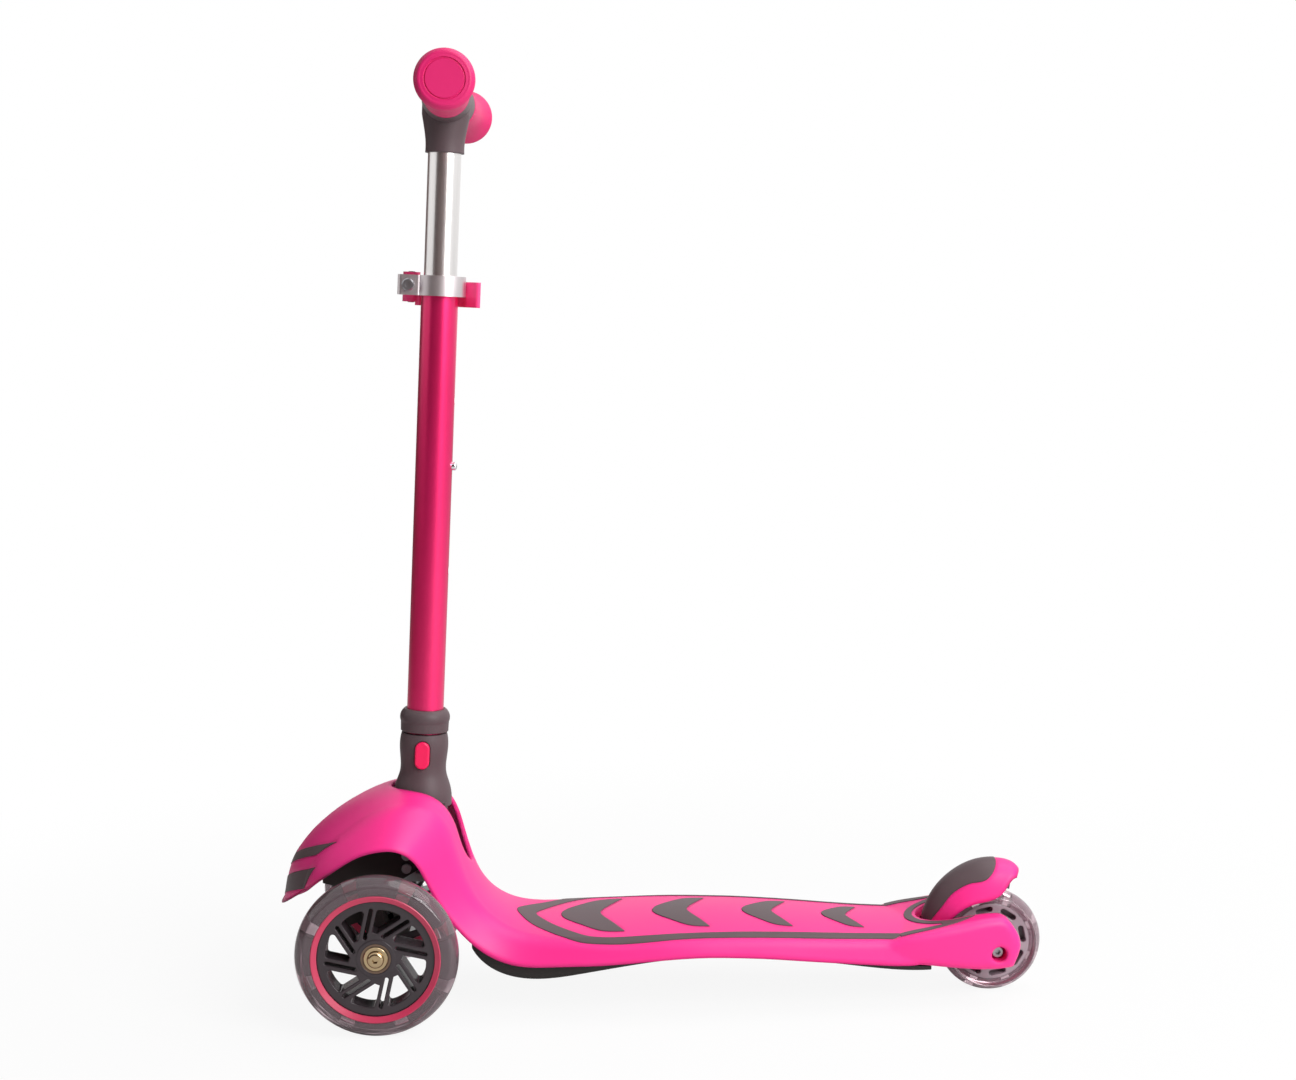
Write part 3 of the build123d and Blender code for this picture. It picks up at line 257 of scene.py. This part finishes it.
# %% Fasteners and bearings
FINISHES["steel"] = finish(
    "plated_steel", srgb(150, 150, 154), srgb(176, 176, 180), rough=(0.25, 0.4),
    drift=60, grain=2000, depth=0.00002, Metallic=1.0,
)
FINISHES["chrome_button"] = finish(
    "button_chrome", srgb(214, 214, 218), srgb(230, 230, 234), rough=(0.06, 0.14),
    drift=60, grain=2000, depth=0.00001, Metallic=1.0,
)
FINISHES["brass_bolts"] = finish(
    "yellow_plating", srgb(172, 150, 116), srgb(198, 176, 140), rough=(0.12, 0.24),
    drift=80, grain=2000, depth=0.00002, Metallic=1.0,
)
FINISHES["bearing_bronze"] = finish(
    "bearing_shield", srgb(104, 84, 70), srgb(130, 108, 92), rough=(0.24, 0.36),
    drift=80, grain=2000, depth=0.00002, Metallic=0.8,
)
print("finishes so far:", len(FINISHES))

# %% [markdown]
# ## Wheels
#
# The tyres are cast from a smoky, see-through material, so light passes into them and the blocks
# of the core show. A glass shader could do that; transmission on the shared shader keeps the tones
# and the uneven gloss as well. The front cores are a dark moulded grey. The rear core shares their
# slot but is paler, so its finish is kept by the name of its node. A grey is also added that paints
# the shade seen through the rear core's slots.

# %% Wheel finishes
FINISHES["clear_tyre"] = finish(
    "smoky_cast_tyre", srgb(198, 174, 182), srgb(218, 196, 204), rough=(0.05, 0.12),
    drift=25, grain=900, depth=0.00002, Transmission_Weight=0.86, IOR=1.42,
)
FINISHES["smoky_core"] = finish(
    "smoky_core", srgb(44, 36, 40), srgb(58, 49, 54), rough=(0.18, 0.28),
    drift=40, grain=1500, depth=0.00003, edge=SMALL_EDGE,
)
OWN_FINISH["rear_wheel_core"] = finish(
    "pale_rear_core", srgb(146, 130, 138), srgb(168, 152, 160), rough=(0.16, 0.26),
    drift=40, grain=1500, depth=0.00003, edge=SMALL_EDGE,
)
# Painted shade: this grey stands in for the shade seen through the rear core's slots.
slot_shade_grey = finish(
    "slot_shade_grey", srgb(96, 82, 88), srgb(112, 98, 104), rough=(0.3, 0.4),
    drift=40, grain=1500, depth=0.00003,
)
print("all slots:", len(FINISHES), "and nodes with their own:", sorted(OWN_FINISH))

# %% [markdown]
# ## Putting the finishes on
#
# Each piece of the frame has one slot, and the record of the frame says which finish belongs in
# it. The finishes could be named piece by piece, but a loop over the record misses none. Only the
# material in the slot changes here; the meshes stay as they are.

# %% Put the finishes on the frame
SLOT_OF = {part["node"]: part["material_slot"] for part in frame["record"]["subparts"]}
for node, obj in frame["nodes"].items():
    obj.data.materials.clear()
    obj.data.materials.append(OWN_FINISH.get(node, FINISHES[SLOT_OF[node]]))
print("finished nodes:", len(frame["nodes"]))

# %% [markdown]
# ## Cast tyres
#
# The real tyres are cast clear around the blocks of the core. Clear things show every facet twice,
# on the way in and on the way out, so the three tyres are drawn again as finer surfaces of
# revolution: a closed line of radius and width is turned round the axle, all points at once. The
# blocks of the core then stand inside the clear material, as they do in the casting.

# %% The section of a tyre
LINE_POINTS = 144
TREAD_POINTS = 40
ROUNDING = 2
SEAT_GAP = 0.0001
CONE_RISE, CONE_RUN = 0.0044, 0.0025


def rounded_line(corners, count):
    """Closed line walked in even steps, each point averaged with its neighbours.

    The first corner is given again at the end. Averaging rounds the corners.
    """
    steps = np.linalg.norm(np.diff(corners, axis=0), axis=1)
    walked = np.concatenate([[0], np.cumsum(steps)])
    even = np.linspace(0, walked[-1], count, endpoint=False)
    line = np.stack([np.interp(even, walked, corners[:, axis]) for axis in (0, 1)], axis=1)
    near = [np.roll(line, shift, axis=0) for shift in range(-ROUNDING, ROUNDING + 1)]
    return np.mean(near, axis=0)


def tyre_line(outer, inner, half, shoulder):
    """Closed section of a tyre as radius and width.

    The tread is an arc through both shoulders and the largest radius. The sides are flat, and a
    cone leads down to the seat.
    """
    bend = (half**2 + shoulder**2) / (2 * shoulder)
    swing = np.linspace(1, -1, TREAD_POINTS) * math.asin(half / bend)
    tread = np.stack([outer - bend + bend * np.cos(swing), bend * np.sin(swing)], axis=1)
    seat = inner + SEAT_GAP
    lead = [(seat, CONE_RUN - half), (seat, half - CONE_RUN), (seat + CONE_RISE, half)]
    tail = [(seat + CONE_RISE, -half), (seat, CONE_RUN - half)]
    return rounded_line(np.concatenate([lead, tread, tail]), LINE_POINTS)


print("points of a section:", LINE_POINTS)

# %% Turn a section round an axle
TURN_POINTS = 224


def turned_surface(name, line, centre, material):
    """Surface of revolution about an axle that lies along Y.

    X and Z are the centre plus the radius times cosine and sine of the turn, and Y is the centre
    plus the width. The grid closes on itself both ways, so it has no seam.
    """
    turn = np.linspace(0, 2 * math.pi, TURN_POINTS, endpoint=False)
    radius, width = line[:, 0], line[:, 1]
    across = np.tile(width, (TURN_POINTS, 1))
    grid = [np.outer(np.cos(turn), radius), across, np.outer(np.sin(turn), radius)]
    points = np.stack(grid, axis=2) + centre
    here = np.arange(points.shape[0] * points.shape[1]).reshape(points.shape[:2])
    onward = np.roll(here, -1, axis=0)
    quads = np.stack([here, onward, np.roll(onward, -1, axis=1), np.roll(here, -1, axis=1)], axis=2)
    mesh = bpy.data.meshes.new(name)
    mesh.from_pydata(points.reshape(-1, 3).tolist(), [], quads.reshape(-1, 4).tolist())
    mesh.shade_smooth()
    mesh.materials.append(material)
    obj = bpy.data.objects.new(name, mesh)
    scene.collection.objects.link(obj)
    print(name, "faces:", len(mesh.polygons))
    return obj


print("steps round an axle:", TURN_POINTS)

# %% The three tyres
FRONT_SEAT, FRONT_SHOULDER = 0.043, 0.006
REAR_SEAT, REAR_SHOULDER = 0.030, 0.005
TYRES = {
    "left_tyre": ("left_wheel", FRONT_SEAT, FRONT_SHOULDER),
    "right_tyre": ("right_wheel", FRONT_SEAT, FRONT_SHOULDER),
    "rear_tyre": ("rear_wheel", REAR_SEAT, REAR_SHOULDER),
}


def box_of(node):
    """Low and high corner of a node as arrays."""
    return [np.array(corner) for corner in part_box(node)]


for node, (body, inner, shoulder) in TYRES.items():
    low, high = box_of(node)
    span = high - low
    line = tyre_line(min(span[0], span[2]) / 2, inner, span[1] / 2, shoulder)
    cast = turned_surface("cast_" + node, line, (low + high) / 2, FINISHES["clear_tyre"])
    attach(cast, body)
    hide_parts(node)

# %% [markdown]
# ## Painted shade behind the rear wheel's slots
#
# The slots of the rear core look dark because shade lies behind them. A dark piece could be set
# into each slot, but one flat ring behind them all paints that shade more simply, and it turns with
# the wheel just as well. It is one more section turned round the axle.

# %% The ring of painted shade
# Painted shade: a flat grey ring behind the rear core's slots, where there is only shade.
SHADE_RING_INNER, SHADE_RING_OUTER, SHADE_RING_HALF = 0.0195, 0.0296, 0.0015
SHADE_RING_POINTS = 64
shade_ring_inside = [(SHADE_RING_INNER, -SHADE_RING_HALF), (SHADE_RING_INNER, SHADE_RING_HALF)]
shade_ring_outside = [(SHADE_RING_OUTER, SHADE_RING_HALF), (SHADE_RING_OUTER, -SHADE_RING_HALF)]
shade_ring_line = rounded_line(np.array(shade_ring_inside + shade_ring_outside + shade_ring_inside[:1]), SHADE_RING_POINTS)
low, high = box_of("rear_wheel_core")
shade_ring = turned_surface("rear_slot_shade", shade_ring_line, (low + high) / 2, slot_shade_grey)
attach(shade_ring, "rear_wheel")

# %% [markdown]
# ## The floor
#
# The photo is a plain studio shot on white. A stronger lamp could bleach the floor, but it would
# bleach the scooter too. So a pale floor keeps the shadow, and for the camera alone it is lifted to
# white, wholly so further away, where no horizon shows.

# %% Floor
FLOOR_HALF = 6.0
FLOOR_TONE = 0.75
FLOOR_LIFT = 0.91
FADE_NEAR, FADE_FAR = 0.3, 0.9
MATT = 0.9
WHITE = (1, 1, 1, 1)


def stage_sheet(name, corners, material):
    """Flat sheet through four corners, part of the stage and not of the scooter."""
    mesh = bpy.data.meshes.new(name)
    mesh.from_pydata(corners, [], [(0, 1, 2, 3)])
    mesh.materials.append(material)
    sheet = bpy.data.objects.new(name, mesh)
    scene.collection.objects.link(sheet)
    return sheet


def matt_material(name, tone):
    """Plain matt material of one tone."""
    material, tree, shader = start_material(name)
    shader.inputs["Base Color"].default_value = tone
    shader.inputs["Roughness"].default_value = MATT
    return material, tree, shader


def pale_floor():
    """Pale floor that takes the shadow, lifted to white for the camera, and more so further away."""
    material, tree, shader = matt_material("pale_floor", (FLOOR_TONE, FLOOR_TONE, FLOOR_TONE, 1))
    start = Flow(tree)
    place = start.add("ShaderNodeTexCoord", {}, {}, out="Object")
    away = start.add("ShaderNodeVectorMath", {"operation": "LENGTH"}, {0: place}, out="Value")
    fade = {"From Min": FADE_NEAR, "From Max": FADE_FAR, "To Min": FLOOR_LIFT, "To Max": 1.0}
    smooth = {"interpolation_type": "SMOOTHSTEP"}
    lift = start.add("ShaderNodeMapRange", smooth, {"Value": away, **fade})
    seen = start.add("ShaderNodeLightPath", {}, {}, out="Is Camera Ray")
    glow = start.add("ShaderNodeEmission", {}, {"Color": WHITE, "Strength": 1.0})
    surface = Flow(tree, shader.outputs[0])
    mixed = start.add("ShaderNodeMixShader", {}, {0: seen * lift, 1: surface, 2: glow})
    output = next(node for node in tree.nodes if node.type == "OUTPUT_MATERIAL")
    mixed.to(output.inputs["Surface"])
    return material


floor_corners = np.array([(-1, -1, 0), (1, -1, 0), (1, 1, 0), (-1, 1, 0)]) * FLOOR_HALF
stage_sheet("floor", floor_corners.tolist(), pale_floor())
print("floor:", 2 * FLOOR_HALF, "m square")

# %% [markdown]
# ## Dark cards
#
# Bright tubes show what stands round them. In an all-white room they would show nothing but white,
# and dark bands painted on them would not move with the view. So dark cards stand behind the
# camera, ahead of the nose, and ahead of it on the far side. The camera itself does not see them.
# Each card has its two ends on the floor and its height.

# %% Dark cards
CARD_TONE = (0.15, 0.1, 0.095, 1)
CARDS = {
    "dark_card_side": [(-3.2, -2.3), (1.2, -2.3), 2.4],
    "dark_card_back": [(-2.2, 1.0), (-1.0, 2.2), 1.4],
    "dark_card_front": [(-1.9, 1.2), (-1.9, -2.0), 0.5],
}
card_material = matt_material("dark_card", CARD_TONE)[0]
for name, (start, end, height) in CARDS.items():
    upright = [(*start, 0), (*end, 0), (*end, height), (*start, height)]
    card = stage_sheet(name, upright, card_material)
    card.visible_camera = False
print("cards:", sorted(CARDS))

# %% [markdown]
# ## Light
#
# The world lights the scooter a little from all sides. It is full white to the camera, to
# reflections and to what is seen through the tyres. Small lamps would give hard shadows, so two
# large ones add soft light from the camera's right and from above, at a level where colours come
# out about as they are written.

# %% World
STUDIO_LEVEL = 0.24


def studio_world():
    """World with a low level of light that looks white when seen, mirrored or seen through."""
    world = bpy.data.worlds.new("studio")
    world.use_nodes = True
    tree = world.node_tree
    tree.nodes.clear()
    sky = Flow(tree)
    rays = tree.nodes.new("ShaderNodeLightPath")
    names = ("Is Camera Ray", "Is Glossy Ray", "Is Transmission Ray")
    seen, mirrored, through = (Flow(tree, rays.outputs[name]) for name in names)
    plain = sky.add("ShaderNodeBackground", {}, {"Color": WHITE, "Strength": STUDIO_LEVEL})
    white = sky.add("ShaderNodeBackground", {}, {"Color": WHITE, "Strength": 1.0})
    mixed = sky.add("ShaderNodeMixShader", {}, {0: seen | mirrored | through, 1: plain, 2: white})
    mixed.to(tree.nodes.new("ShaderNodeOutputWorld").inputs["Surface"])
    return world


scene.world = studio_world()
print("world level:", STUDIO_LEVEL)

# %% Lamps
MIDDLE = (0, 0, 0.3)
# Each lamp has its place and size in metres and its power in watts.
LAMPS = {
    "key": ((1.5, -1.7, 1.5), 1.6, 69),
    "top": ((1.1, 0.2, 2.4), 2.2, 38),
}


def soft_lamp(name, place, size, power):
    """Square area lamp at a place, turned to the middle of the scooter."""
    lamp = bpy.data.lights.new(name, "AREA")
    lamp.size = size
    lamp.energy = power
    holder = bpy.data.objects.new(name, lamp)
    holder.location = place
    way = np.subtract(MIDDLE, place)
    tilt = math.atan2(math.hypot(way[0], way[1]), -way[2])
    holder.rotation_euler = (tilt, 0, math.atan2(way[1], way[0]) - math.pi / 2)
    scene.collection.objects.link(holder)


for name, (place, size, power) in LAMPS.items():
    soft_lamp(name, place, size, power)
print("lamps:", sorted(LAMPS))

# %% [markdown]
# ## Camera
#
# A camera could be turned by eye until the picture looks right. This one was fitted to the wheels,
# the knobs and the stem in the photo, because then every other difference is one of shape. The
# focal length was found in pixels of the photo's width, so it is turned into millimetres.

# %% Camera
CAMERA_PLACE = (-0.06515, -1.59267, 0.52826)
CAMERA_YAW = math.radians(1.913)
CAMERA_PITCH = math.radians(6.2187)
FOCAL_PIXELS = 2100
IMAGE_WIDTH = 1296
SENSOR_WIDTH = 36
camera_data = bpy.data.cameras.new("photo_camera")
camera_data.sensor_fit = "HORIZONTAL"
camera_data.sensor_width = SENSOR_WIDTH
camera_data.lens = FOCAL_PIXELS / IMAGE_WIDTH * SENSOR_WIDTH
camera = bpy.data.objects.new("photo_camera", camera_data)
camera.location = CAMERA_PLACE
camera.rotation_euler = (math.pi / 2 - CAMERA_PITCH, 0, -CAMERA_YAW)
scene.collection.objects.link(camera)
scene.camera = camera
print("lens:", round(camera_data.lens, 2), "mm")
